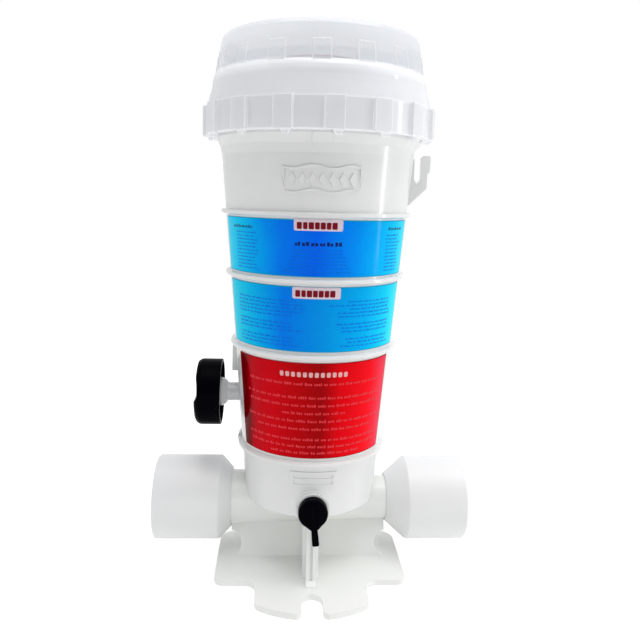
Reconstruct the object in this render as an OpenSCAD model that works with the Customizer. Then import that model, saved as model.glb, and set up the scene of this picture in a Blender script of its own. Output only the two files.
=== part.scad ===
// In-line chlorine tablet feeder: tapered tank with screw cap, control valve, drain cock,
// through-pipe with two pipe sockets, and a foot plate. Millimetres, +Z up.
// Origin: centre of the foot plate's underside on the tank axis. -Y is the labelled front.

/* [Tank] */
// Outer radius of the tank wall at the lowest flange
tank_low_r = 51.1; // [49:0.1:52]
// Outer radius of the tank wall at the highest flange
tank_high_r = 65.1; // [64:0.1:66]
// Wall thickness of the tank
tank_wall = 3.2; // [2.6:0.1:3.6]
// Height of the underside of the tank floor
tank_floor_z = 48; // [46:0.5:49]
// How far each flange stands out from the wall
flange_out = 3.1; // [1.5:0.1:4]
// Thickness of each flange
flange_t = 2.8; // [2:0.1:4]

/* [Cap] */
// Outer radius of the skirt between the grip pads
skirt_r = 79.5; // [79:0.1:80.5]
// How far the grip pads stand out from the skirt
pad_out = 2.5; // [1.5:0.1:3.5]
// Number of grip pads, and of ribs on the crown
grip_count = 16; // [8:1:20]
// Width of a grip pad
pad_w = 12.5; // [8:0.5:15]
// Width of a crown rib
crown_rib_w = 11.5; // [6:0.5:13]

/* [Pipe] */
// Bore radius of the pipe sockets, for 50 mm rigid pipe
socket_bore_r = 25.15; // [25.05:0.05:25.3]
// Outer radius of the pipe sockets
socket_r = 30; // [29:0.5:32]
// Depth of the pipe sockets
socket_depth = 33; // [28:1:35]
// Height of the pipe axis
pipe_z = 42; // [41:0.5:43]

/* [Valves] */
// Height of the control valve axis
valve_z = 123; // [120:1:126]
// Radius of the control knob
knob_r = 24; // [20:0.5:25]
// Height of the drain cock axis
drain_z = 57.5; // [57:0.5:59]
// Lean of the drain lever at rest, in degrees
drain_lean = 6; // [0:0.5:8]

/* [Foot] */
// Thickness of the foot plate
foot_t = 4; // [3:0.5:5]
// Wall thickness of the saddle under the pipe
web_t = 4.5; // [4:0.5:6]

/* [Hidden] */
$fn = 96;
fit = 0.05;
low_z = 88;
high_z = 257;
flange_zs = [low_z, 163, 213.7, high_z];
slope = (tank_high_r - tank_low_r) / (high_z - low_z);
neck_root_z = 302;
neck_z = 310;
neck_top_z = 342;
neck_r = 70.5;
neck_bore_r = 66;
thread_r = 72.1;
thread_zs = [316, 323, 330];
grid_z = 92;
grid_t = 3;
ledge_r = 44.5;
cap_low_z = 309;
cap_inner_r = 74.4;
cap_thread_r = 72.6;
lip_z = 349;
seal_land_z = 345.2;
crown_top_z = 377.5;
plate_z = 361.5;
plate_t = 3;
label_t = 0.36;
glue_gap = 0.08;
cap_phase = -2.2;
lug_count = 15;
pad_phase = 3.8;
left_stub_r = 19.5;
right_stub_r = 15.5;
main_bore_r = 12.5;
left_end = -113.5;
right_end = 115;
spigot_len = 19;
left_neck_x = -58;
right_neck_x = 57;
feed_x = -36;
feed_r = 6;
outlet_x = 27;
sleeve_r = 6.7;
spindle_r = 4;
knob_in_x = -66.5;
knob_out_x = -85.6;
drain_face_y = -52;
drain_boss_r = 11.5;
lobe_half = 38;
lobe_r = 65;
web_foot_y = 17.5;
bite_r = 8.5;
bite_z = 12.2;

function crown_r(z) = 72.8 - 0.135 * (z - 352.3);
function wall_r(z) = tank_low_r + slope * (z - low_z);

function arc(cx, cy, r, a0, a1, n) =
    [for (i = [0:n]) [cx + r * cos(a0 + (a1 - a0) * i / n), cy + r * sin(a0 + (a1 - a0) * i / n)]];

// Cylinder along X from x0 to x1.
module rod_x(x0, x1, r, z, r2 = -1) {
    translate([x0, 0, z])
        rotate([0, 90, 0])
            cylinder(h = x1 - x0, r1 = r, r2 = r2 < 0 ? r : r2);
}

// Cylinder along Y from y0 to y1, in the plane x = 0.
module rod_y(y0, y1, r, z, r2 = -1) {
    translate([0, y0, z])
        rotate([-90, 0, 0])
            cylinder(h = y1 - y0, r1 = r, r2 = r2 < 0 ? r : r2);
}

module ring(r_out, r_in, z0, z1) {
    difference() {
        translate([0, 0, z0])
            cylinder(h = z1 - z0, r = r_out);
        translate([0, 0, z0 - 1])
            cylinder(h = z1 - z0 + 2, r = r_in);
    }
}

module torus(r_mid, r_section) {
    rotate_extrude()
        translate([r_mid, 0])
            circle(r = r_section);
}

// Wedge about the tank axis, centred on the front, for cutting labels.
module front_wedge(a0, a1, z0, z1) {
    far = 140;
    translate([0, 0, z0])
        linear_extrude(height = z1 - z0)
            polygon(concat([[0, 0]], arc(0, 0, far, a0 - 90, a1 - 90, 8)));
}

// ---- tank ----

module tank_outline() {
    foot_z = tank_floor_z + 1.5;
    polygon([
        [0, tank_floor_z],
        [wall_r(foot_z) - 1.5, tank_floor_z],
        [wall_r(foot_z), foot_z],
        [wall_r(neck_root_z - 6), neck_root_z - 6],
        [wall_r(neck_root_z) + 0.8, neck_root_z],
        [72.2, neck_z - 2],
        [72.2, neck_z],
        [neck_r, neck_z + 1],
        [neck_r, neck_top_z],
        [0, neck_top_z]
    ]);
}

module tank_cavity() {
    low = tank_floor_z + tank_wall + 0.8;
    polygon([
        [0, low],
        [wall_r(low) - tank_wall - 2, low],
        [wall_r(low + 2) - tank_wall, low + 2],
        [wall_r(grid_z - 5) - tank_wall, grid_z - 5],
        [ledge_r, grid_z - 2.5],
        [ledge_r, grid_z],
        [wall_r(grid_z) - tank_wall, grid_z],
        [neck_bore_r - 0.4, neck_root_z - 12],
        [neck_bore_r, neck_root_z],
        [neck_bore_r, neck_top_z + 1],
        [0, neck_top_z + 1]
    ]);
}

module tank_flange(z) {
    r = wall_r(z);
    translate([0, 0, z])
        rotate_extrude()
            polygon([
                [r - 1, -flange_t / 2 - 0.6],
                [r + 0.3, -flange_t / 2 - 0.6],
                [r + flange_out, -flange_t / 2 + 0.5],
                [r + flange_out, flange_t / 2 - 0.4],
                [r + flange_out - 0.4, flange_t / 2],
                [r + 0.2, flange_t / 2 + 0.5],
                [r - 1, flange_t / 2 + 0.5]
            ]);
}

// Hook on the right-hand side of the neck, flat in the XZ plane.
module tool_hook() {
    translate([0, 2.5, 0])
        rotate([90, 0, 0])
            linear_extrude(height = 5)
                polygon([
                    [62, 256],
                    [65.5, 262.5],
                    [79.7, 276.5],
                    [80, 287],
                    [81.7, 288.5],
                    [81.9, 299],
                    [81, 300],
                    [77, 300],
                    [75.4, 298.4],
                    [75.4, 283],
                    [72.8, 279],
                    [70.2, 283],
                    [70.2, 297],
                    [66, 300]
                ]);
}

// Raised name plaque with a wavy border and a blank field.
module plaque() {
    half = 25.5;
    mid = 279.5;
    tall = 8.2;
    translate([0, -75, mid])
        rotate([-90, 0, 0])
            linear_extrude(height = 12)
                polygon(concat(
                    [for (i = [0:24]) [-half + 2 * half * i / 24, -tall + 1.1 * sin(i * 30)]],
                    [for (i = [24:-1:0]) [-half + 2 * half * i / 24, tall + 1.1 * sin(i * 30)]]
                ));
}

module plaque_field() {
    half = 24;
    mid = 279.5;
    tall = 6.8;
    translate([0, -75, mid])
        rotate([-90, 0, 0])
            linear_extrude(height = 12)
                polygon(concat(
                    [for (i = [0:24]) [-half + 2 * half * i / 24, -tall + 1.1 * sin(i * 30)]],
                    [for (i = [24:-1:0]) [-half + 2 * half * i / 24, tall + 1.1 * sin(i * 30)]]
                ));
}

module wall_skin(z0, z1, out) {
    rotate_extrude()
        polygon([
            [wall_r(z0) - 1, z0],
            [wall_r(z0) + out, z0],
            [wall_r(z1) + out, z1],
            [wall_r(z1) - 1, z1]
        ]);
}

module canister() {
    color([0.93, 0.93, 0.92])
    difference() {
        union() {
            rotate_extrude()
                tank_outline();
            for (z = flange_zs)
                tank_flange(z);
            for (z = thread_zs)
                translate([0, 0, z])
                    rotate_extrude()
                        polygon([
                            [neck_r - 1, -2],
                            [thread_r, -0.6],
                            [thread_r, 0.6],
                            [neck_r - 1, 2]
                        ]);
            tool_hook();
            intersection() {
                wall_skin(266, 294, 0.9);
                difference() {
                    plaque();
                    plaque_field();
                }
            }
            // low round mark below the cap
            intersection() {
                translate([-1, 0, 0])
                    rod_y(-78, -60, 6.8, 304.3);
                rotate_extrude()
                    polygon([
                        [60, neck_root_z - 6],
                        [wall_r(neck_root_z - 6) + 0.5, neck_root_z - 6],
                        [wall_r(neck_root_z) + 1.3, neck_root_z],
                        [72.7, neck_z - 2],
                        [72.7, neck_z],
                        [60, neck_z]
                    ]);
            }
            // plain raised lozenges in the plaque
            intersection() {
                wall_skin(266, 294, 0.7);
                for (i = [-3:3])
                    translate([i * 6.4, -75, 279.5])
                        rotate([-90, 0, 0])
                            linear_extrude(height = 12)
                                polygon([[-2.3, 0], [0, -4.4], [2.3, 0], [0, 4.4]]);
            }
            // stop tab and lug on the control side
            translate([-wall_r(157) - 2.4, -2.5, 139.5])
                cube([6.5, 5, 22]);
            translate([0, 1.5, 0])
                rod_x(-wall_r(low_z) - 0.2, -wall_r(low_z) + 4, 2, low_z);
            translate([-wall_r(low_z) + 2.8, 7, low_z])
                rotate([90, 0, 0])
                    cylinder(h = 6, r = 6.2);
            // drain boss
            rod_y(drain_face_y, -40, drain_boss_r, drain_z);
            // blank field for an embossed panel
            intersection() {
                wall_skin(71, 83, 0.5);
                translate([-16, -60, 71.5])
                    cube([32, 20, 11]);
            }
        }
        rotate_extrude()
            tank_cavity();
        // saddle for the through-pipe
        pipe_outline(fit);
        // seat groove for the cap seal
        ring(neck_r - 1.2, neck_bore_r + 1.2, neck_top_z - 1.6, neck_top_z + 1);
        // control valve port
        rod_x(-70, -30, sleeve_r + fit, valve_z);
        rod_x(-wall_r(valve_z) + 2.0, -30, 10, valve_z);
        // drain port
        rod_y(-60, -30, 6, drain_z);
        // two plain slots of the panel
        intersection() {
            for (z = [73.4, 77.8])
                translate([-13.5, -60, z])
                    cube([27, 20, 2.6]);
            difference() {
                wall_skin(71, 83, 3);
                wall_skin(71, 83, 0.1);
            }
        }
    }
}

// ---- base ----

// Outside of the through-pipe, grown by g.
module pipe_outline(g) {
    rod_x(left_neck_x - spigot_len, left_neck_x, left_stub_r + g, pipe_z);
    rod_x(left_neck_x, right_neck_x, left_stub_r + g, pipe_z, right_stub_r + g);
    rod_x(right_neck_x, right_neck_x + spigot_len, right_stub_r + g, pipe_z);
}

module foot_outline() {
    side = 67;
    front_y = -49;
    rear_y = 20;
    front_corner = 7;
    rear_corner = 12;
    // side lobes
    rounded_slab(side, front_y, rear_y, front_corner, rear_corner);
    // front and back lobes
    for (m = [0, 1])
        mirror([0, m])
            translate([0, m == 1 ? 22 : 4])
                rounded_lobe();
    // concave fillets between the lobes
    for (mx = [0, 1])
        mirror([mx, 0]) {
            difference() {
                translate([lobe_half - 0.1, front_y - 8])
                    square([8.1, 8.1]);
                translate([lobe_half + 8, front_y - 8])
                    circle(r = 8);
            }
            difference() {
                translate([lobe_half - 0.1, rear_y - 0.1])
                    square([8.1, 8.1]);
                translate([lobe_half + 8, rear_y + 8])
                    circle(r = 8);
            }
        }
}

// Disc segment with straight sides and eased corners, bulging towards +Y.
module rounded_lobe() {
    corner = 6;
    back = 26;
    cx = lobe_half - corner;
    cy = sqrt(pow(lobe_r - corner, 2) - cx * cx);
    tx = cx * lobe_r / (lobe_r - corner);
    intersection() {
        translate([-tx, -back])
            square([2 * tx, back + lobe_r + 1]);
        circle(r = lobe_r);
    }
    translate([-lobe_half, -back])
        square([2 * lobe_half, back + cy]);
    for (s = [-1, 1])
        translate([s * cx, cy])
            circle(r = corner);
}

// Rectangle about x = 0 with rounded corners of one size in front and another behind.
module rounded_slab(half, y0, y1, r0, r1) {
    polygon(concat(
        arc(half - r1, y1 - r1, r1, 0, 90, 8),
        arc(-half + r1, y1 - r1, r1, 90, 180, 8),
        arc(-half + r0, y0 + r0, r0, 180, 270, 8),
        arc(half - r0, y0 + r0, r0, 270, 360, 8)
    ));
}

// Screw notch open towards s * Y, its round end centred at y = s * depth, mouth at y = s * edge.
module screw_notch(s, depth, edge) {
    half = 7;
    ease = 4;
    translate([0, s * depth, -1])
        cylinder(h = foot_t + 2, r = half);
    translate([-half, s > 0 ? depth : -depth - 25, -1])
        cube([2 * half, 25, foot_t + 2]);
    // eased corners of the mouth
    for (m = [-1, 1])
        difference() {
            translate([m > 0 ? half - 0.1 : -half - ease + 0.1, s > 0 ? edge - ease : -edge - 4, -1])
                cube([ease, ease + 4, foot_t + 2]);
            translate([m * (half + ease - 0.1), s * (edge - ease), -2])
                cylinder(h = foot_t + 4, r = ease);
        }
}

module foot_plate() {
    difference() {
        linear_extrude(height = foot_t)
            foot_outline();
        screw_notch(-1, 72.5, 86);
        screw_notch(1, 54.5, 68);
    }
}

// Saddle under the pipe: sloping faces and a round bite in each end.
module cross_web() {
    difference() {
        intersection() {
            translate([-70, 0, 0])
                rotate([90, 0, 90])
                    linear_extrude(height = 140)
                        polygon([
                            [-web_foot_y, 1],
                            [-web_foot_y, foot_t],
                            [-6.2, 32],
                            [6.2, 32],
                            [web_foot_y, foot_t],
                            [web_foot_y, 1]
                        ]);
            union() {
                translate([left_neck_x - 1.5, -20, 1])
                    cube([right_neck_x - left_neck_x + 2.5, 40, 16]);
                translate([left_neck_x + 0.5, -20, 1])
                    cube([right_neck_x - left_neck_x - 1, 40, 40]);
            }
        }
        for (x = [left_neck_x - 0.5, right_neck_x + 0.7])
            translate([x, 20, bite_z])
                rotate([90, 0, 0])
                    cylinder(h = 40, r = bite_r);
    }
}

module web_core(x0, x1) {
    wall = web_t;
    translate([x0, 0, 0])
        rotate([90, 0, 90])
            linear_extrude(height = x1 - x0)
                polygon([
                    [-web_foot_y + wall, -1],
                    [-web_foot_y + wall, foot_t - 1],
                    [-web_foot_y + wall + 6, 18.5],
                    [web_foot_y - wall - 6, 18.5],
                    [web_foot_y - wall, foot_t - 1],
                    [web_foot_y - wall, -1]
                ]);
}

// Rib along Y under the tank; front_y and rear_y are where it meets the plate.
module rib_slab(half_w, front_y, rear_y) {
    translate([-half_w, 0, 0])
        rotate([90, 0, 90])
            linear_extrude(height = 2 * half_w)
                polygon([
                    [front_y, 1],
                    [front_y, foot_t + 0.5],
                    [front_y + 3, foot_t + 3],
                    [front_y + 12.5, tank_floor_z - 0.1],
                    [rear_y - 11.5, tank_floor_z - 0.1],
                    [rear_y - 3, foot_t + 3],
                    [rear_y, foot_t + 0.5],
                    [rear_y, 1]
                ]);
}

module long_rib() {
    difference() {
        union() {
            rib_slab(5.6, -47, 40);
            rib_slab(3.7, -58, 44.5);
        }
        // groove down the sloping front edge
        translate([-0.9, 0, 0])
            rotate([90, 0, 90])
                linear_extrude(height = 1.8)
                    polygon([
                        [-57, foot_t + 3],
                        [-53.4, foot_t + 3],
                        [-43.9, tank_floor_z],
                        [-47.5, tank_floor_z]
                    ]);
        // room for the drain boss
        rod_y(-60, -38, drain_boss_r + 0.2, drain_z);
    }
}

module flow_base() {
    color([0.92, 0.92, 0.91])
    difference() {
        union() {
            pipe_outline(0);
            foot_plate();
            cross_web();
            long_rib();
            // ports up to the feed tube and the outlet strainer
            translate([feed_x, 0, pipe_z])
                cylinder(h = 26, r = 9);
            translate([outlet_x, 0, pipe_z])
                cylinder(h = 24, r = 11);
        }
        rod_x(-90, 90, main_bore_r, pipe_z);
        // the saddle is cored out through the underside
        web_core(left_neck_x + 13, -9);
        web_core(9, right_neck_x - 13);
        translate([feed_x, 0, pipe_z])
            cylinder(h = 30, r = 4);
        translate([feed_x, 0, 62])
            cylinder(h = 10, r = feed_r + fit);
        translate([outlet_x, 0, pipe_z])
            cylinder(h = 30, r = 4.2);
        translate([outlet_x, 0, 58])
            cylinder(h = 3.05, r1 = 4.2, r2 = 7.2);
        translate([outlet_x, 0, 61])
            cylinder(h = 8, r = 7.2);
    }
}

// Pipe socket along X, mouth at x_end, waist at x_neck, glued over a spigot of radius r_spigot.
module pipe_socket(x_end, x_shoulder, x_neck, r_neck, r_spigot) {
    s = x_end < 0 ? -1 : 1;
    translate([0, 0, pipe_z])
        rotate([0, 90 * s, 0])
            rotate_extrude()
                polygon([
                    [r_spigot + fit, s * x_neck],
                    [r_neck - 0.5, s * x_neck],
                    [r_neck, s * x_neck + 0.5],
                    [socket_r - 0.8, s * x_shoulder - 0.6],
                    [socket_r, s * x_shoulder + 0.6],
                    [socket_r, s * x_end - 1],
                    [socket_r - 1, s * x_end],
                    [socket_bore_r + 0.8, s * x_end],
                    [socket_bore_r, s * x_end - 0.8],
                    [socket_bore_r, s * x_end - socket_depth],
                    [main_bore_r, s * x_end - socket_depth],
                    [main_bore_r, s * x_neck + spigot_len + 0.2],
                    [r_spigot + fit, s * x_neck + spigot_len + 0.2]
                ]);
}

module inlet_socket() {
    color([0.9, 0.9, 0.89])
        pipe_socket(left_end, -66, left_neck_x, 22, left_stub_r);
}

module outlet_socket() {
    color([0.9, 0.9, 0.89])
        pipe_socket(right_end, 71.5, right_neck_x, 17.5, right_stub_r);
}

// ---- cap ----

module cap_profile() {
    polygon([
        [cap_inner_r, cap_low_z + 0.8],
        [cap_inner_r + 0.8, cap_low_z],
        [skirt_r - 0.8, cap_low_z],
        [skirt_r, cap_low_z + 0.8],
        [skirt_r, 329],
        [skirt_r - 0.6, 330.5],
        // shoulder cone up to the rolled lip
        [76.8, lip_z - 10.5],
        [75.8, lip_z - 6],
        [75.5, lip_z - 2.5],
        [75, lip_z],
        [74.2, lip_z + 1.8],
        [73.3, lip_z + 2.9],
        [crown_r(lip_z + 3.3), lip_z + 3.3],
        // crown
        [crown_r(371.5), 371.5],
        [69.6, 374.4],
        [68.4, 376.4],
        [66.8, crown_top_z],
        [64.8, crown_top_z],
        [63.4, 376.6],
        [63.6, 375],
        [66, 371],
        [67.4, 367],
        [67.6, plate_z + plate_t],
        [0, plate_z + plate_t],
        [0, plate_z],
        [64, plate_z],
        [67, plate_z - 3],
        [69.3, lip_z + 3],
        [71.6, lip_z + 0.6],
        [71.8, seal_land_z + 3],
        // land that presses the seal
        [66.4, seal_land_z + 2.6],
        [66.4, seal_land_z],
        [72, seal_land_z],
        [72.4, 341],
        [cap_inner_r, 333]
    ]);
}

module cap_shell() {
    color([0.78, 0.82, 0.84, 0.6])
    union() {
        rotate_extrude()
            cap_profile();
        // internal thread
        for (z = thread_zs)
            translate([0, 0, z - 3.5])
                rotate_extrude()
                    polygon([
                        [cap_inner_r + 1, -2],
                        [cap_thread_r, -0.6],
                        [cap_thread_r, 0.6],
                        [cap_inner_r + 1, 2]
                    ]);
        for (i = [0:grip_count - 1]) {
            // grip pad on the skirt
            rotate([0, 0, pad_phase + i * 360 / grip_count])
                translate([-pad_w / 2, -skirt_r - pad_out, cap_low_z])
                    cube([pad_w, pad_out + 3, 20.6]);
            // rib on the crown
            rotate([0, 0, cap_phase + i * 360 / grip_count])
                translate([-crown_rib_w / 2, 0, 0])
                    rotate([90, 0, 90])
                        linear_extrude(height = crown_rib_w)
                            polygon([
                                [-crown_r(lip_z + 2) - 0.9, lip_z + 2],
                                [-crown_r(364) - 0.9, 364],
                                [-crown_r(364.6) - 0.3, 364.6],
                                [-66.4, 364.6],
                                [-66.4, plate_z],
                                [-68.4, lip_z + 6]
                            ]);
        }
        // small lugs below the skirt
        for (i = [0:lug_count - 1])
            rotate([0, 0, 6 + i * 360 / lug_count])
                translate([0, -76.1, cap_low_z + 0.6])
                    rotate([90, 0, 0])
                        linear_extrude(height = 2.4)
                            polygon([[-3.6, 0], [-1.6, -3], [1.6, -3], [3.6, 0]]);
    }
}

module cap_label() {
    color([0.8, 0.1, 0.12])
        translate([0, 0, plate_z - label_t])
            cylinder(h = label_t, r = 36);
}

module cap_oring() {
    color([0.1, 0.1, 0.1])
        translate([0, 0, neck_top_z + 1.2])
            torus((neck_bore_r + neck_r) / 2, 1.5);
}

// ---- labels ----

module wall_label(z0, z1, a0, a1) {
    intersection() {
        rotate_extrude()
            polygon([
                [wall_r(z0) + glue_gap, z0],
                [wall_r(z0) + glue_gap + label_t, z0],
                [wall_r(z1) + glue_gap + label_t, z1],
                [wall_r(z1) + glue_gap, z1]
            ]);
        front_wedge(a0, a1, z0 - 1, z1 + 1);
    }
}

module label_upper() {
    color([0.05, 0.5, 0.9])
        wall_label(217, 254, -74, 69);
}

module label_middle() {
    color([0.05, 0.5, 0.9])
        wall_label(167, 210.6, -73, 68);
}

module label_lower() {
    color([0.75, 0.05, 0.1])
        wall_label(92.5, 159.5, -65, 62);
}

// ---- inside ----

module tablet_grid() {
    r = wall_r(grid_z) - tank_wall - 0.3;
    color([0.88, 0.88, 0.86])
    difference() {
        union() {
            translate([0, 0, grid_z])
                cylinder(h = grid_t, r = r);
            ring(r, r - 2, grid_z, grid_z + 6);
            ring(8, 5.5, grid_z - 8, grid_z + 1);
        }
        translate([feed_x, 0, grid_z - 1])
            cylinder(h = 12, r = feed_r + 0.5);
        for (k = [1:3])
            for (i = [0:6 * k - 1]) {
                a = i * 60 / k + (k == 2 ? 15 : 0);
                x = 12.5 * k * cos(a);
                y = 12.5 * k * sin(a);
                if (norm([x - feed_x, y]) > 12.5)
                    translate([x, y, grid_z - 1])
                        cylinder(h = grid_t + 2, r = 3.6);
            }
    }
}

module feed_tube() {
    color([0.85, 0.86, 0.87])
    translate([feed_x, 0, 62.1])
        difference() {
            cylinder(h = valve_z - 7 - 62.1, r = feed_r);
            translate([0, 0, -1])
                cylinder(h = 80, r = 4);
        }
}

module outlet_strainer() {
    color([0.85, 0.86, 0.87])
    translate([outlet_x, 0, 0])
        difference() {
            union() {
                ring(7.15, 5.7, 62.5, 80);
                ring(11, 5.7, 66, 68);
                translate([0, 0, 78])
                    cylinder(h = 2, r = 7.15);
            }
            for (a = [0:60:300])
                rotate([0, 0, a])
                    translate([0, -1.3, 69.5])
                        cube([12, 2.6, 7]);
            translate([0, 0, 77])
                cylinder(h = 4, r = 2.2);
        }
}

module check_ball() {
    color([0.2, 0.2, 0.2])
        translate([outlet_x, 0, 65])
            sphere(r = 5.2);
}

module venturi_insert() {
    color([0.3, 0.32, 0.34])
    translate([0, 0, pipe_z])
        rotate([0, 90, 0])
            rotate_extrude()
                polygon([
                    [main_bore_r - fit, -14],
                    [main_bore_r - fit, 14],
                    [11, 14],
                    [7.5, 3],
                    [7.5, -3],
                    [11, -14]
                ]);
}

// ---- control valve ----

module valve_sleeve() {
    seat = -wall_r(valve_z) + 2.0 + 1.5;
    color([0.72, 0.74, 0.76])
    difference() {
        union() {
            rod_x(-66, seat + 1, sleeve_r, valve_z);
            rod_x(seat, seat + 3, 9.6, valve_z);
            rod_x(seat + 2, feed_x + 8, 7.6, valve_z);
            translate([feed_x, 0, valve_z - 11])
                cylinder(h = 18, r = 8);
        }
        rod_x(-67, feed_x + 5, spindle_r + 0.05, valve_z);
        translate([feed_x, 0, valve_z - 12])
            cylinder(h = 20, r = 3.2);
        translate([feed_x, 0, valve_z - 12])
            cylinder(h = 5.05, r = feed_r + fit);
    }
}

module valve_gasket() {
    seat = -wall_r(valve_z) + 2.0;
    color([0.15, 0.15, 0.15])
    difference() {
        rod_x(seat, seat + 1.5, 9.4, valve_z);
        rod_x(seat - 1, seat + 3, sleeve_r + 0.1, valve_z);
    }
}

module valve_nut() {
    color([0.74, 0.76, 0.78])
    translate([0, 0, valve_z])
        rotate([0, 90, 0])
            rotate_extrude()
                polygon([
                    [spindle_r + 0.1, -70.4],
                    [9.2, -70.4],
                    [10.3, -69.6],
                    [10.3, -66.2],
                    [9.2, -63.8],
                    [7.6, -62.3],
                    [sleeve_r + fit, -62.3],
                    [sleeve_r + fit, -66.1],
                    [5.6, -66.1],
                    [5.6, -68.4],
                    [spindle_r + 0.1, -68.4]
                ]);
}

module valve_spindle() {
    color([0.6, 0.62, 0.64])
    difference() {
        rod_x(-79, feed_x + 4.8, spindle_r, valve_z);
        // throttling slot across the feed passage
        translate([feed_x - 3, -1.6, valve_z - 5])
            cube([6, 3.2, 10]);
        // seal groove
        difference() {
            rod_x(-67.9, -66.4, 5, valve_z);
            rod_x(-68.5, -65, 3.3, valve_z);
        }
        // screw hole
        rod_x(-80, -69.5, 1.3, valve_z);
    }
}

module spindle_orings() {
    color([0.1, 0.1, 0.1])
    translate([-67.15, 0, valve_z])
        rotate([0, 90, 0])
            torus(4.05, 0.7);
}

// Room in front of the knob's face: shallow finger hollow above a slanted step.
module knob_relief() {
    face = knob_out_x + 1.5;
    hollow = 1.2;
    hollow_r = 40;
    translate([0, 40, valve_z])
        rotate([90, 0, 0])
            linear_extrude(height = 80)
                polygon(concat(
                    [[knob_out_x - 10, 30], [face, 30]],
                    arc(face + hollow - hollow_r, 5, hollow_r, 14, -5, 12),
                    [[knob_out_x, -3], [knob_out_x - 10, -3]]
                ));
}

module control_knob() {
    hub_r = 7.5;
    color([0.06, 0.06, 0.07])
    difference() {
        translate([0, 0, valve_z])
            rotate([0, 90, 0])
                rotate_extrude()
                    polygon([
                        [0, knob_out_x],
                        [knob_r - 6.5, knob_out_x],
                        [knob_r - 3.4, knob_out_x + 0.6],
                        [knob_r - 1.4, knob_out_x + 1.8],
                        [knob_r - 0.3, knob_out_x + 3.6],
                        [knob_r, knob_out_x + 5],
                        [knob_r, knob_in_x - 0.4],
                        [knob_r - 0.4, knob_in_x],
                        [0, knob_in_x]
                    ]);
        knob_relief();
        // hollow back
        difference() {
            rod_x(knob_in_x - 12, knob_in_x + 1, knob_r - 2.2, valve_z);
            rod_x(knob_in_x - 13, knob_in_x - 4.6, hub_r, valve_z);
            for (a = [0:60:300])
                translate([knob_in_x - 13, 0, valve_z])
                    rotate([a + 30, 0, 0])
                        translate([0, -1, 0])
                            cube([6, 2, knob_r - 1]);
        }
        // spindle seat and screw hole
        rod_x(-79, knob_in_x + 1, spindle_r + 0.02, valve_z);
        rod_x(-90, -78, 1.8, valve_z);
        rod_x(-90, -80.6, 3.5, valve_z);
    }
}

module knob_screw() {
    color([0.7, 0.7, 0.7])
    difference() {
        union() {
            rod_x(-83, -80.65, 3.2, valve_z);
            rod_x(-81, -70, 1.28, valve_z);
        }
        translate([-83.5, -3.5, valve_z - 0.4])
            cube([1.5, 7, 0.8]);
        translate([-83.5, -0.4, valve_z - 3.5])
            cube([1.5, 0.8, 7]);
    }
}

// ---- drain cock ----

module drain_gasket() {
    color([0.15, 0.15, 0.15])
    difference() {
        rod_y(drain_face_y - 1, drain_face_y, 9.5, drain_z);
        rod_y(drain_face_y - 2, drain_face_y + 1, 6, drain_z);
    }
}

module drain_bush() {
    color([0.95, 0.95, 0.95])
    difference() {
        union() {
            rod_y(drain_face_y - 3, drain_face_y - 1, 11.4, drain_z);
            rod_y(drain_face_y - 2, -40, 5.95, drain_z);
        }
        rod_y(-60, -38, 3.55, drain_z);
        // outlet below the stem
        translate([0, drain_face_y - 2, drain_z - 14])
            cylinder(h = 10, r = 0.9);
    }
}

module drain_stem() {
    color([0.1, 0.1, 0.11])
    difference() {
        union() {
            rod_y(-57, -39, 3.5, drain_z);
            rod_y(-39, -37.5, 4.6, drain_z);
        }
        // cross passage and seal groove
        difference() {
            rod_y(-46.2, -44.4, 5, drain_z);
            rod_y(-47, -44, 2.6, drain_z);
        }
        rod_y(-43, -36, 1.5, drain_z);
    }
}

module drain_oring() {
    color([0.1, 0.1, 0.1])
    translate([0, -45.3, drain_z])
        rotate([90, 0, 0])
            torus(3.08, 0.44);
}

module drain_knob() {
    top_half = 1.8;
    tip_half = 2.4;
    color([0.05, 0.05, 0.06])
    difference() {
        union() {
            rod_y(-60.4, -55.3, 10, drain_z);
            rod_y(-61.4, -60.4, 9, drain_z, 10);
            translate([0, 0, drain_z])
                rotate([0, -drain_lean, 0]) {
                    // teardrop web running into the lever
                    translate([0, -55.3, 0])
                        rotate([90, 0, 0])
                            linear_extrude(height = 5)
                                polygon([
                                    [-7.6, -6.4],
                                    [7.6, -6.4],
                                    [top_half, -12],
                                    [-top_half, -12]
                                ]);
                    translate([0, -55.3, 0])
                        rotate([90, 0, 0])
                            linear_extrude(height = 5.7)
                                polygon([
                                    [-top_half, 0],
                                    [top_half, 0],
                                    [tip_half, -21.2],
                                    [tip_half - 0.6, -22.4],
                                    [-tip_half + 0.6, -22.4],
                                    [-tip_half, -21.2]
                                ]);
                    // grip blade across the face
                    translate([-1.2, -64, -9])
                        cube([2.4, 4, 17]);
                }
        }
        rod_y(-57.02, -50, 3.5, drain_z);
    }
}

canister();
flow_base();
inlet_socket();
outlet_socket();
cap_shell();
cap_label();
cap_oring();
label_upper();
label_middle();
label_lower();
tablet_grid();
feed_tube();
outlet_strainer();
check_ball();
venturi_insert();
valve_sleeve();
valve_gasket();
valve_nut();
valve_spindle();
spindle_orings();
control_knob();
knob_screw();
drain_bush();
drain_gasket();
drain_stem();
drain_oring();
drain_knob();
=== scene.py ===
"""Looks for the in-line chlorine tablet feeder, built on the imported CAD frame."""
import math
import random

import bmesh
import bpy
from mathutils import Matrix, Vector


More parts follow.
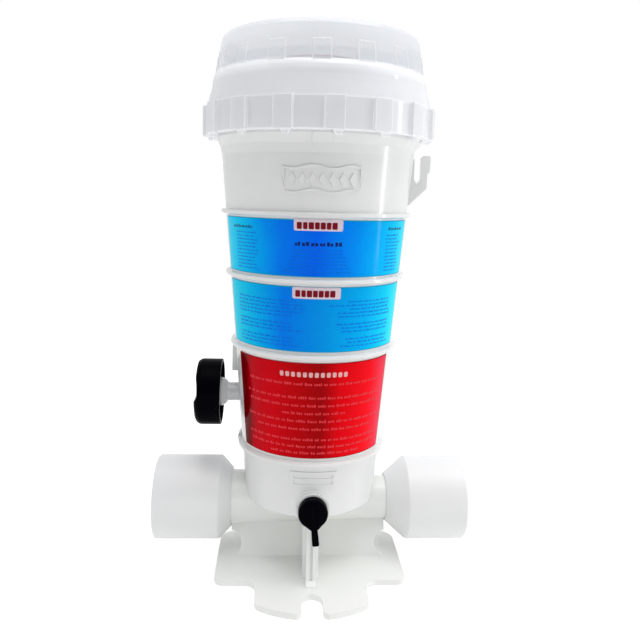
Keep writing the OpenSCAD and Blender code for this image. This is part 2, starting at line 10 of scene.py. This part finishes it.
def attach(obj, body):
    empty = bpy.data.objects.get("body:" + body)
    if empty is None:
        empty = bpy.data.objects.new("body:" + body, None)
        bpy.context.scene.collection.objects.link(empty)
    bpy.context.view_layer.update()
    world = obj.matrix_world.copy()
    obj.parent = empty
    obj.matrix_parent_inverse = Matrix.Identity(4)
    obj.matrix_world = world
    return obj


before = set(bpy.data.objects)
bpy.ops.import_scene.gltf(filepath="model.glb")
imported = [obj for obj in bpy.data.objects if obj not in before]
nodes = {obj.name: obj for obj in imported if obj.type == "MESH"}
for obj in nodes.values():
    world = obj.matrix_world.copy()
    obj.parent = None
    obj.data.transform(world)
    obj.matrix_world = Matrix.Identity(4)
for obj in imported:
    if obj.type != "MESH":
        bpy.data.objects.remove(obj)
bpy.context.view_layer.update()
MM = 0.001
rng = random.Random(7)

# ---------------------------------------------------------------- form of the part, in mm
LOW_Z, HIGH_Z = 88.0, 257.0
LOW_R, HIGH_R = 51.1, 65.1
LABEL_T = 0.44
PRINT = LABEL_T + 0.03
OVER = LABEL_T + 0.06
# the cap's lip fades in and out over these heights, and the thin crown wall starts at its top; the lip band
# carries a painted highlight, a faint white emission
LIP_IN = (344.0, 349.0)
LIP_OUT = (351.5, 353.5)
CROWN_IN = (350.5, 353.5)


def wall_r(z):
    """Outer radius of the tank wall at height z, both in mm."""
    return LOW_R + (HIGH_R - LOW_R) * (z - LOW_Z) / (HIGH_Z - LOW_Z)


def on_wall(azimuth, z, out):
    """Point out mm off the tank wall; azimuth in degrees from the front, positive to the right."""
    a = math.radians(azimuth)
    r = wall_r(z) + out
    return Vector((r * math.sin(a), -r * math.cos(a), z)) * MM


# ---------------------------------------------------------------- node helpers
class Mat:
    """A procedural material under construction."""

    def __init__(self, name):
        self.mat = bpy.data.materials.new(name)
        self.mat.use_nodes = True
        self.tree = self.mat.node_tree
        self.tree.nodes.clear()
        self.out = self.add("ShaderNodeOutputMaterial")
        self.bsdf = self.add("ShaderNodeBsdfPrincipled")
        self.link(self.bsdf.outputs[0], self.out.inputs["Surface"])
        self.coord = self.add("ShaderNodeTexCoord").outputs["Object"]

    def add(self, kind, **props):
        n = self.tree.nodes.new(kind)
        for k, v in props.items():
            setattr(n, k, v)
        return n

    def link(self, a, b):
        self.tree.links.new(a, b)

    def set(self, socket, value):
        if hasattr(value, "is_output"):
            self.link(value, self.bsdf.inputs[socket])
        else:
            self.bsdf.inputs[socket].default_value = value

    def math(self, op, a, b=None):
        n = self.add("ShaderNodeMath", operation=op)
        for i, v in enumerate((a, b)):
            if v is None:
                continue
            if hasattr(v, "is_output"):
                self.link(v, n.inputs[i])
            else:
                n.inputs[i].default_value = v
        return n.outputs[0]

    def noise(self, scale, detail=3.0, rough=0.5, vector=None):
        n = self.add("ShaderNodeTexNoise")
        n.inputs["Scale"].default_value = scale
        n.inputs["Detail"].default_value = detail
        n.inputs["Roughness"].default_value = rough
        self.link(vector or self.coord, n.inputs["Vector"])
        return n.outputs["Fac"]

    def stretched(self, x, y, z):
        m = self.add("ShaderNodeMapping")
        m.inputs["Scale"].default_value = (x, y, z)
        self.link(self.coord, m.inputs["Vector"])
        return m.outputs[0]

    def ramp(self, fac, stops):
        n = self.add("ShaderNodeValToRGB")
        el = n.color_ramp.elements
        while len(el) < len(stops):
            el.new(0.5)
        for e, (p, c) in zip(el, stops):
            e.position = p
            e.color = (*c, 1.0)
        self.link(fac, n.inputs[0])
        return n.outputs[0]

    def grade(self, fac, lo, hi, out_lo, out_hi):
        n = self.add("ShaderNodeMapRange")
        for i, v in enumerate((lo, hi, out_lo, out_hi)):
            n.inputs[i + 1].default_value = v
        self.link(fac, n.inputs[0])
        return n.outputs[0]

    def mix(self, fac, a, b, mode="MIX"):
        n = self.add("ShaderNodeMix", data_type="RGBA", blend_type=mode)
        for i, v in ((0, fac), (6, a), (7, b)):
            if hasattr(v, "is_output"):
                self.link(v, n.inputs[i])
            elif i == 0:
                n.inputs[i].default_value = v
            else:
                n.inputs[i].default_value = (*v, 1.0)
        return n.outputs[2]

    def bump(self, height, strength, distance, edge=0.0):
        n = self.add("ShaderNodeBump")
        n.inputs["Strength"].default_value = strength
        n.inputs["Distance"].default_value = distance
        self.link(height, n.inputs["Height"])
        if edge:
            bev = self.add("ShaderNodeBevel", samples=6)
            bev.inputs["Radius"].default_value = edge
            self.link(bev.outputs[0], n.inputs["Normal"])
        self.link(n.outputs[0], self.bsdf.inputs["Normal"])

    def xyz(self):
        n = self.add("ShaderNodeSeparateXYZ")
        self.link(self.coord, n.inputs[0])
        return n.outputs

    def azimuth(self):
        """Degrees round the tank axis from the front, positive to the right."""
        x, y, _ = self.xyz()
        back = self.math("MULTIPLY", y, -1.0)
        return self.math("MULTIPLY", self.math("ARCTAN2", x, back), 180.0 / math.pi)


def plastic(name, low, high, rough, grain=900.0, grain_depth=0.00002, coat=0.0, edge=0.0004,
            sss=0.0, shine=0.5):
    """Moulded plastic: slight shade drift, faint flow lines, roughness patches and a fine grain."""
    m = Mat(name)
    drift = m.noise(14.0, 4.0, 0.6)
    flow = m.noise(60.0, 3.0, 0.55, m.stretched(1.0, 1.0, 0.18))
    blend = m.math("ADD", m.math("MULTIPLY", drift, 0.65), m.math("MULTIPLY", flow, 0.35))
    m.set("Base Color", m.ramp(blend, [(0.3, low), (0.7, high)]))
    m.set("Roughness", m.grade(m.noise(45.0, 4.0, 0.6), 0.3, 0.7, rough[0], rough[1]))
    m.set("IOR", 1.5)
    m.set("Specular IOR Level", shine)
    if coat:
        m.set("Coat Weight", coat)
        m.set("Coat Roughness", 0.06)
    if sss:
        m.set("Subsurface Weight", sss)
        m.set("Subsurface Radius", (0.004, 0.004, 0.0035))
        m.set("Subsurface Scale", 1.0)
    grain_h = m.math("ADD", m.noise(grain, 2.0, 0.5), m.math("MULTIPLY", m.noise(28.0, 2.0, 0.5), 2.5))
    m.bump(grain_h, 0.35, grain_depth, edge)
    return m


def make_tank_white():
    m = plastic("tank_white", (0.80, 0.808, 0.803), (0.84, 0.845, 0.84), (0.16, 0.26),
                grain_depth=0.00003, coat=0.35, sss=0.08)
    return m.mat


def make_base_white():
    m = plastic("base_white", (0.865, 0.875, 0.85), (0.88, 0.89, 0.865), (0.28, 0.38),
                grain_depth=0.000012, coat=0.1, sss=0.08)
    return m.mat


def make_socket_white():
    m = plastic("socket_white", (0.815, 0.82, 0.825), (0.845, 0.85, 0.855), (0.34, 0.46),
                grain=1500.0, grain_depth=0.00005, sss=0.05)
    return m.mat


def make_inner():
    return plastic("inner_plastic", (0.70, 0.72, 0.71), (0.80, 0.81, 0.80), (0.35, 0.5)).mat


def make_black(name, rough):
    m = plastic(name, (0.0008, 0.0008, 0.0018), (0.0018, 0.0018, 0.0036), rough, grain=1200.0,
                grain_depth=0.00003, edge=0.0007, shine=0.05)
    m.set("IOR", 1.22)
    return m.mat


def make_rubber():
    m = plastic("seal_rubber", (0.012, 0.012, 0.012), (0.03, 0.03, 0.03), (0.6, 0.8), grain=2500.0,
                grain_depth=0.00008, edge=0.0)
    return m.mat


def make_silicone():
    m = plastic("pale_silicone", (0.62, 0.63, 0.62), (0.72, 0.73, 0.72), (0.45, 0.6),
                grain=2200.0, edge=0.0, sss=0.2)
    return m.mat


def make_clear_grey():
    """Translucent grey fitting plastic with faint flow lines."""
    m = plastic("clear_grey", (0.80, 0.82, 0.85), (0.92, 0.935, 0.95), (0.12, 0.24), coat=0.2)
    m.set("Transmission Weight", 0.12)
    m.set("Subsurface Weight", 0.15)
    m.set("Subsurface Radius", (0.003, 0.003, 0.003))
    m.set("Subsurface Scale", 1.0)
    return m.mat


def make_steel():
    m = plastic("screw_steel", (0.45, 0.45, 0.46), (0.62, 0.62, 0.63), (0.25, 0.4), grain=3000.0)
    m.set("Metallic", 1.0)
    return m.mat


def make_venturi():
    return plastic("venturi_grey", (0.10, 0.11, 0.12), (0.16, 0.17, 0.18), (0.4, 0.55)).mat


def make_cap():
    """Milky clear plastic of the cap: part diffuse, part see-through, with a glossy face; its corners and
    lip carry painted highlights, painted whiter and glowing.
    """
    m = Mat("cap_clear")
    drift = m.noise(18.0, 4.0, 0.6)
    flow = m.noise(40.0, 3.0, 0.5, m.stretched(1.0, 1.0, 0.3))
    blend = m.math("ADD", m.math("MULTIPLY", drift, 0.6), m.math("MULTIPLY", flow, 0.4))
    body = m.ramp(blend, [(0.3, (0.88, 0.90, 0.94)), (0.7, (0.94, 0.95, 0.97))])
    # thick below the lip, a thin wall above it
    height = m.xyz()[2]
    crown = m.grade(height, CROWN_IN[0] * MM, CROWN_IN[1] * MM, 0.0, 1.0)
    # mask of the lip band, which gets a painted highlight emission below
    fade_in = m.grade(height, LIP_IN[0] * MM, LIP_IN[1] * MM, 0.0, 1.0)
    fade_out = m.grade(height, LIP_OUT[0] * MM, LIP_OUT[1] * MM, 1.0, 0.0)
    lip = m.math("MULTIPLY", fade_in, fade_out)
    body = m.mix(m.grade(crown, 0.0, 1.0, 0.0, 0.6), body, (0.74, 0.76, 0.80))
    # painted highlight: corners of the pads and ribs are painted white, made less see-through and given a
    # faint white emission further down
    bevel = m.add("ShaderNodeBevel", samples=8)
    bevel.inputs["Radius"].default_value = 0.0009
    gap = m.add("ShaderNodeVectorMath", operation="DISTANCE")
    m.link(bevel.outputs[0], gap.inputs[0])
    m.link(m.add("ShaderNodeNewGeometry").outputs["Normal"], gap.inputs[1])
    corner = m.grade(gap.outputs["Value"], 0.04, 0.45, 0.0, 1.0)
    body = m.mix(corner, body, (1.0, 1.0, 1.0))
    m.set("Base Color", body)
    # painted highlight: faint white emission on the corners and the lip band, though the cap is no lamp
    m.set("Emission Color", (0.98, 0.98, 1.0, 1.0))
    painted_glow = m.math("ADD", m.math("MULTIPLY", corner, 0.16), m.math("MULTIPLY", lip, 0.12))
    m.set("Emission Strength", painted_glow)
    m.set("Roughness", m.grade(m.noise(50.0, 3.0, 0.5), 0.3, 0.7, 0.10, 0.20))
    m.set("IOR", 1.45)
    m.set("Coat Weight", 0.3)
    m.set("Coat Roughness", 0.04)
    m.bump(m.noise(160.0, 2.0, 0.5), 0.3, 0.00004, 0.0006)
    clear = m.add("ShaderNodeBsdfTransparent")
    clear.inputs[0].default_value = (0.97, 0.98, 0.99, 1.0)
    milky = m.add("ShaderNodeBsdfTranslucent")
    milky.inputs[0].default_value = (0.94, 0.955, 0.975, 1.0)
    a = m.add("ShaderNodeMixShader")
    m.link(m.grade(crown, 0.0, 1.0, 0.16, 0.42), a.inputs[0])
    m.link(m.bsdf.outputs[0], a.inputs[1])
    m.link(milky.outputs[0], a.inputs[2])
    b = m.add("ShaderNodeMixShader")
    see = m.math("MULTIPLY", m.grade(m.noise(25.0, 2.0, 0.5), 0.3, 0.7, 0.85, 1.15),
                 m.grade(crown, 0.0, 1.0, 0.06, 0.30))
    see = m.math("MULTIPLY", see, m.math("SUBTRACT", 1.0, corner))
    # a wall counts once: its far side lets nearly everything through
    far_side = m.add("ShaderNodeNewGeometry").outputs["Backfacing"]
    see = m.math("MAXIMUM", see, m.grade(far_side, 0.0, 1.0, 0.0, 0.9))
    m.link(see, b.inputs[0])
    m.link(a.outputs[0], b.inputs[1])
    m.link(clear.outputs[0], b.inputs[2])
    m.link(b.outputs[0], m.out.inputs["Surface"])
    return m.mat


def make_label(name, stops, z0, z1, a0, a1, border):
    """Printed vinyl label: colour runs round the tank, with painted shade and painted sheen in that run,
    darker border, printed-dot grain.
    """
    m = Mat(name)
    x, y, z = m.xyz()
    az = m.azimuth()
    run = m.grade(az, a0, a1, 0.0, 1.0)
    wob = m.math("ADD", run, m.math("MULTIPLY", m.math("SUBTRACT", m.noise(20.0, 3.0, 0.6), 0.5), 0.10))
    # the ramp mixes the print's colour with painted shade and painted sheen round the tank
    body = m.ramp(wob, stops)
    body = m.mix(m.grade(m.noise(700.0, 2.0, 0.5), 0.35, 0.65, 0.0, 0.10), body, (1.0, 1.0, 1.0), "OVERLAY")
    edge_z = 0.0006
    edge_a = 0.6
    inside = m.math("MULTIPLY", m.math("GREATER_THAN", z, z0 * MM + edge_z),
                    m.math("LESS_THAN", z, z1 * MM - edge_z))
    inside_a = m.math("MULTIPLY", m.math("GREATER_THAN", az, a0 + edge_a),
                      m.math("LESS_THAN", az, a1 - edge_a))
    m.set("Base Color", m.mix(m.math("MULTIPLY", inside, inside_a), border, body))
    m.set("Roughness", m.grade(m.noise(80.0, 3.0, 0.5), 0.3, 0.7, 0.10, 0.16))
    m.set("IOR", 1.25)
    m.set("Specular IOR Level", 0.13)
    m.bump(m.noise(120.0, 2.0, 0.5), 0.25, 0.00005)
    return m.mat


def make_ink(name, low, high):
    m = Mat(name)
    m.set("Base Color", m.ramp(m.noise(900.0, 2.0, 0.5), [(0.35, low), (0.65, high)]))
    m.set("Roughness", m.grade(m.noise(300.0, 2.0, 0.5), 0.3, 0.7, 0.22, 0.34))
    m.set("Specular IOR Level", 0.08)
    m.bump(m.noise(1500.0, 2.0, 0.5), 0.2, 0.00001)
    return m.mat


# ---------------------------------------------------------------- materials on the CAD nodes
tank_white = make_tank_white()
base_white = make_base_white()
socket_white = make_socket_white()
inner = make_inner()
knob_black = make_black("knob_black", (0.2, 0.34))
drain_black = make_black("drain_black", (0.14, 0.24))
rubber = make_rubber()
clear_grey = make_clear_grey()
steel = make_steel()
venturi = make_venturi()
cap_clear = make_cap()
# Colour stops round each label: the print's colour with painted light in it. The blue stops lighten to cyan
# toward both sides as painted sheen; the red stops are painted near-black maroon at the left edge and
# darker in the middle as painted shade, and end in a painted pink sheen at the right edge.
BLUE_PRINT_WITH_PAINTED_SHEEN = [(0.0, (0.0, 0.70, 0.98)), (0.14, (0.0, 0.57, 0.98)), (0.34, (0.0, 0.20, 0.97)),
            (0.50, (0.0, 0.13, 0.97)), (0.68, (0.0, 0.28, 0.97)),
            (0.84, (0.0, 0.54, 0.98)), (1.0, (0.0, 0.76, 0.98))]
MID_PRINT_WITH_PAINTED_SHEEN = [(0.0, (0.0, 0.72, 0.92)), (0.15, (0.0, 0.58, 0.93)), (0.36, (0.0, 0.21, 0.95)),
           (0.55, (0.0, 0.30, 0.86)), (0.76, (0.0, 0.46, 0.94)),
           (0.88, (0.0, 0.66, 0.97)), (1.0, (0.0, 0.82, 0.98))]
RED_PRINT_WITH_PAINTED_SHADE_AND_SHEEN = [(0.0, (0.10, 0.0, 0.002)), (0.07, (0.16, 0.0, 0.002)), (0.13, (0.55, 0.0, 0.008)),
           (0.26, (0.66, 0.0, 0.006)),
           (0.42, (0.50, 0.0, 0.002)),
           (0.54, (0.34, 0.0, 0.002)), (0.64, (0.76, 0.0, 0.004)), (0.85, (0.98, 0.002, 0.010)),
           (1.0, (0.85, 0.03, 0.08))]
label_upper_mat = make_label("label_upper_print_and_painted_light", BLUE_PRINT_WITH_PAINTED_SHEEN, 217, 254, -74, 69, (0.0, 0.36, 0.62))
label_middle_mat = make_label("label_middle_print_and_painted_light", MID_PRINT_WITH_PAINTED_SHEEN, 167, 210.6, -73, 68, (0.0, 0.36, 0.62))
label_lower_mat = make_label("label_lower_print_and_painted_light", RED_PRINT_WITH_PAINTED_SHADE_AND_SHEEN, 92.5, 159.5, -65, 62, (0.42, 0.0, 0.004))
cap_red = make_ink("cap_red", (0.50, 0.004, 0.01), (0.62, 0.006, 0.014))

FINISH = {
    "canister": tank_white, "flow_base": base_white, "drain_bush": tank_white,
    "inlet_socket": socket_white, "outlet_socket": socket_white,
    "cap_shell": cap_clear, "cap_label": cap_red, "cap_oring": make_silicone(),
    "label_upper": label_upper_mat, "label_middle": label_middle_mat, "label_lower": label_lower_mat,
    "tablet_grid": inner, "feed_tube": inner, "outlet_strainer": inner,
    "check_ball": rubber, "venturi_insert": venturi,
    "valve_sleeve": clear_grey, "valve_nut": clear_grey, "valve_spindle": clear_grey,
    "valve_gasket": rubber, "spindle_orings": rubber, "knob_screw": steel,
    "control_knob": knob_black,
    "drain_gasket": rubber, "drain_stem": drain_black, "drain_oring": rubber, "drain_knob": drain_black,
}
for name, mat in FINISH.items():
    mesh = nodes[name].data
    mesh.materials.clear()
    mesh.materials.append(mat)


# ---------------------------------------------------------------- printed matter on the labels
def patch(bm, az, z, width, height, out, corner=0.0, steps=6):
    """Adds a rounded patch that follows the tank wall: centre az and z, width and height in mm."""
    deg = math.degrees(1.0 / wall_r(z))
    half_w, half_h = width / 2, height / 2
    r = min(corner, half_w, half_h)
    xs = [-half_w + 2 * half_w * i / steps for i in range(steps + 1)]
    if r:
        extra = [r * (1 - math.cos(math.radians(t))) for t in (0, 30, 60, 90)]
        xs = sorted(set([-half_w + e for e in extra] + [half_w - e for e in extra]
                        + [x for x in xs if abs(x) < half_w - r]))
    top, low = [], []
    for x in xs:
        inset = 0.0
        over = abs(x) - (half_w - r)
        if r and over > 0:
            inset = r - math.sqrt(max(r * r - over * over, 0.0))
        top.append(bm.verts.new(on_wall(az + x * deg, z + half_h - inset, out)))
        low.append(bm.verts.new(on_wall(az + x * deg, z - half_h + inset, out)))
    for i in range(len(xs) - 1):
        if (top[i].co - low[i].co).length < 1e-7 and (top[i + 1].co - low[i + 1].co).length < 1e-7:
            continue
        bm.faces.new((low[i], low[i + 1], top[i + 1], top[i]))


def finish_piece(bm, name, mat, body):
    bmesh.ops.remove_doubles(bm, verts=bm.verts, dist=1e-7)
    mesh = bpy.data.meshes.new(name)
    bm.to_mesh(mesh)
    bm.free()
    mesh.materials.append(mat)
    obj = bpy.data.objects.new(name, mesh)
    bpy.context.scene.collection.objects.link(obj)
    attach(obj, body)
    return obj


def word_line(bm, az0, az1, z, height, out, word=(1.6, 4.2), gap=0.8):
    """A line of print between two azimuths: words made of plain small blocks, with no letters."""
    mm_per_deg = wall_r(z) * math.pi / 180
    x, end = az0 * mm_per_deg, az1 * mm_per_deg
    while x < end:
        w = min(rng.uniform(*word), end - x)
        if w > 0.4:
            count = max(1, round(w / (height * 0.8)))
            step = w / count
            for k in range(count):
                tall = height * rng.choice((0.74, 0.74, 1.0))
                at = (x + (k + 0.5) * step) / mm_per_deg
                patch(bm, at, z - (height - tall) / 2, step * 0.76, tall, out, steps=1)
        x += w + gap


# pale header patches, each with a row of plain dark red blocks
pale = make_ink("header_pale", (0.76, 0.60, 0.68), (0.84, 0.72, 0.80))
wine = make_ink("header_wine", (0.18, 0.002, 0.01), (0.26, 0.004, 0.015))
navy = make_ink("print_navy", (0.003, 0.01, 0.12), (0.006, 0.02, 0.18))
blue_faint = make_ink("print_blue", (0.0, 0.13, 0.74), (0.0, 0.18, 0.84))
pink_faint = make_ink("print_pink", (0.72, 0.03, 0.042), (0.82, 0.055, 0.07))
pink_bold = make_ink("print_pink_bold", (0.80, 0.42, 0.42), (0.88, 0.52, 0.52))

HEAD_AZ = -1.5
HEAD_W = 31.5
BLOCK_H = 4.4
# width and place along the header of each block
BLOCKS = ((3.2, -12.2), (2.8, -8.4), (3.4, -4.6), (3.0, -0.8), (3.2, 2.9), (2.9, 6.6), (3.4, 10.4))

bm = bmesh.new()
patch(bm, HEAD_AZ, 250.6, HEAD_W, 7.4, PRINT, corner=1.2, steps=10)
patch(bm, HEAD_AZ, 206.6, HEAD_W, 7.6, PRINT, corner=1.2, steps=10)
finish_piece(bm, "label_headers", pale, "tank")

bm = bmesh.new()
for z in (250.2, 206.2):
    for w, x in BLOCKS:
        patch(bm, HEAD_AZ + math.degrees(x / wall_r(z)), z, w, BLOCK_H, OVER, corner=0.6, steps=2)
finish_piece(bm, "label_header_blocks", wine, "tank")

bm = bmesh.new()
word_line(bm, -62, -43, 248.0, 1.9, PRINT, (2.2, 3.6), 0.7)
word_line(bm, -15, 13, 238.5, 2.6, PRINT, (3.4, 6.0), 0.8)
word_line(bm, 45, 62, 248.6, 1.9, PRINT, (2.2, 3.6), 0.7)
finish_piece(bm, "label_upper_headings", navy, "tank")

bm = bmesh.new()
for i in range(11):
    z = 244.2 - i * 2.35
    word_line(bm, -59, -38 - rng.uniform(0, 6), z, 1.1, PRINT, (1.4, 3.6), 0.7)
    word_line(bm, 44, 61 - rng.uniform(0, 5), z, 1.1, PRINT, (1.4, 3.6), 0.7)
for i in range(7):
    z = 234.6 - i * 2.35
    spread = 14 + i * 1.3
    start = -spread - rng.uniform(0, 3)
    word_line(bm, start, spread + rng.uniform(-4, 2), z, 1.1, PRINT, (1.4, 3.8), 0.7)
BLANK_ROWS = (5, 9)
for i in range(13):
    z = 201.0 - i * 2.5
    if i in BLANK_ROWS:
        continue
    word_line(bm, -60, -8 - rng.uniform(0, 12), z, 1.2, PRINT, (1.8, 5.0), 0.8)
    word_line(bm, 6 + rng.uniform(0, 14), 58 - rng.uniform(0, 6), z, 1.2, PRINT, (1.8, 5.0), 0.8)
finish_piece(bm, "label_blue_lines", blue_faint, "tank")

WARN_Z = 151.5
bm = bmesh.new()
for k in range(12):
    x = -22.0 + k * 3.95
    patch(bm, HEAD_AZ + math.degrees(x / wall_r(WARN_Z)), WARN_Z, 2.6, 3.4, PRINT, corner=0.8, steps=2)
finish_piece(bm, "label_lower_heading", pink_bold, "tank")

bm = bmesh.new()
for z, a0, a1 in ((145.0, -52, 52), (135.5, -55, 55), (130.0, -53, 53),
                  (124.5, -24, 22), (119.0, -55, 55), (113.5, -46, 46),
                  (106.0, -55, 55), (101.0, -53, 53), (96.5, -34, 36)):
    word_line(bm, a0, a1, z, 1.9, PRINT, (2.4, 7.0), 1.1)
finish_piece(bm, "label_lower_lines", pink_faint, "tank")


# ---------------------------------------------------------------- stage
def studio_world():
    """White studio: even all round, dim where the camera stands, plain white to the eye."""
    world = bpy.data.worlds.new("studio")
    bpy.context.scene.world = world
    world.use_nodes = True
    tree = world.node_tree
    tree.nodes.clear()

    def add(kind, **props):
        n = tree.nodes.new(kind)
        for k, v in props.items():
            setattr(n, k, v)
        return n

    def grade(fac, lo, hi, out_lo, out_hi):
        n = add("ShaderNodeMapRange", interpolation_type="SMOOTHSTEP")
        for i, v in enumerate((lo, hi, out_lo, out_hi)):
            n.inputs[i + 1].default_value = v
        tree.links.new(fac, n.inputs[0])
        return n.outputs[0]

    def times(p, q):
        n = add("ShaderNodeMath", operation="MULTIPLY")
        tree.links.new(p, n.inputs[0])
        tree.links.new(q, n.inputs[1])
        return n.outputs[0]

    split = add("ShaderNodeSeparateXYZ")
    tree.links.new(add("ShaderNodeTexCoord").outputs["Generated"], split.inputs[0])
    x, y, z = split.outputs
    front = grade(y, -0.95, -0.25, FRONT_DIM, 1.0)
    side = grade(x, -0.9, 0.6, LEFT_DIM, 1.0)
    level = times(times(front, side), grade(z, -0.2, 0.9, 0.92, 1.0))
    lit = add("ShaderNodeBackground")
    lit.inputs[0].default_value = (0.985, 0.99, 1.0, 1.0)
    tree.links.new(level, lit.inputs[1])
    seen = add("ShaderNodeBackground")
    seen.inputs[0].default_value = (1.0, 1.0, 1.0, 1.0)
    seen.inputs[1].default_value = 1.0
    pick = add("ShaderNodeMixShader")
    tree.links.new(add("ShaderNodeLightPath").outputs["Is Camera Ray"], pick.inputs[0])
    tree.links.new(lit.outputs[0], pick.inputs[1])
    tree.links.new(seen.outputs[0], pick.inputs[2])
    tree.links.new(pick.outputs[0], add("ShaderNodeOutputWorld").inputs[0])


def area_light(name, at, aim, size, power):
    data = bpy.data.lights.new(name, "AREA")
    data.shape = "RECTANGLE"
    data.size, data.size_y = size
    data.energy = power
    obj = bpy.data.objects.new(name, data)
    bpy.context.scene.collection.objects.link(obj)
    obj.location = at
    obj.rotation_euler = (Vector(aim) - Vector(at)).to_track_quat("-Z", "Y").to_euler()
    return obj


def make_floor():
    mesh = bpy.data.meshes.new("floor")
    bm = bmesh.new()
    half = 3.0
    for x, y in ((-half, -half), (half, -half), (half, half), (-half, half)):
        bm.verts.new((x, y, 0.0))
    bm.faces.new(bm.verts)
    bm.to_mesh(mesh)
    bm.free()
    m = Mat("floor_white")
    pale = [(0.3, (0.44, 0.44, 0.44)), (0.7, (0.46, 0.46, 0.46))]
    m.set("Base Color", m.ramp(m.noise(3.0, 2.0, 0.5), pale))
    m.set("Roughness", 0.9)
    m.set("Specular IOR Level", 0.0)
    m.set("Emission Color", (1.0, 1.0, 0.985, 1.0))
    # brighter to the eye than to the part standing on it
    seen = m.add("ShaderNodeLightPath").outputs["Is Camera Ray"]
    m.set("Emission Strength", m.grade(seen, 0.0, 1.0, FLOOR_TO_PART, FLOOR_TO_EYE))
    mesh.materials.append(m.mat)
    obj = bpy.data.objects.new("floor", mesh)
    bpy.context.scene.collection.objects.link(obj)
    return obj


FRONT_DIM = 0.25
LEFT_DIM = 0.78
FLOOR_TO_PART = 0.54
FLOOR_TO_EYE = 0.80
make_floor()
studio_world()
area_light("strip_right", (0.90, -0.155, 0.30), (0.0, 0.0, 0.22), (0.045, 0.60), 1.25)
area_light("top", (0.1, -0.1, 1.1), (0.0, 0.0, 0.2), (0.8, 0.8), 6.0)
low_fill = area_light("low_fill", (-0.05, -0.75, 0.10), (0.0, 0.0, -0.03), (0.5, 0.1), 0.03)
low_fill.data.spread = math.radians(26)

# ---------------------------------------------------------------- camera
CAM_DIST = 0.480
CAM_AZ = math.radians(-3.0)
CAM_Z = 0.2683
PITCH = math.radians(5.73)
ROLL = math.radians(1.5)
FOCAL = 657.0 / 640.0
SENSOR = 36.0
SHIFT_X = 5.0 / 640.0
SHIFT_Y = -57.0 / 640.0

cam_data = bpy.data.cameras.new("camera")
cam = bpy.data.objects.new("camera", cam_data)
bpy.context.scene.collection.objects.link(cam)
bpy.context.scene.camera = cam
cam_data.sensor_width = SENSOR
cam_data.lens = SENSOR * FOCAL
cam_data.shift_x = SHIFT_X
cam_data.shift_y = SHIFT_Y
cam_data.clip_start = 0.01
forward = Vector((-math.sin(CAM_AZ) * math.cos(PITCH), math.cos(CAM_AZ) * math.cos(PITCH),
                  -math.sin(PITCH)))
turn = forward.to_track_quat("-Z", "Y").to_matrix() @ Matrix.Rotation(ROLL, 3, "Z")
cam.location = (CAM_DIST * math.sin(CAM_AZ), -CAM_DIST * math.cos(CAM_AZ), CAM_Z)
cam.rotation_euler = turn.to_euler()

bpy.context.scene.view_settings.view_transform = "Standard"
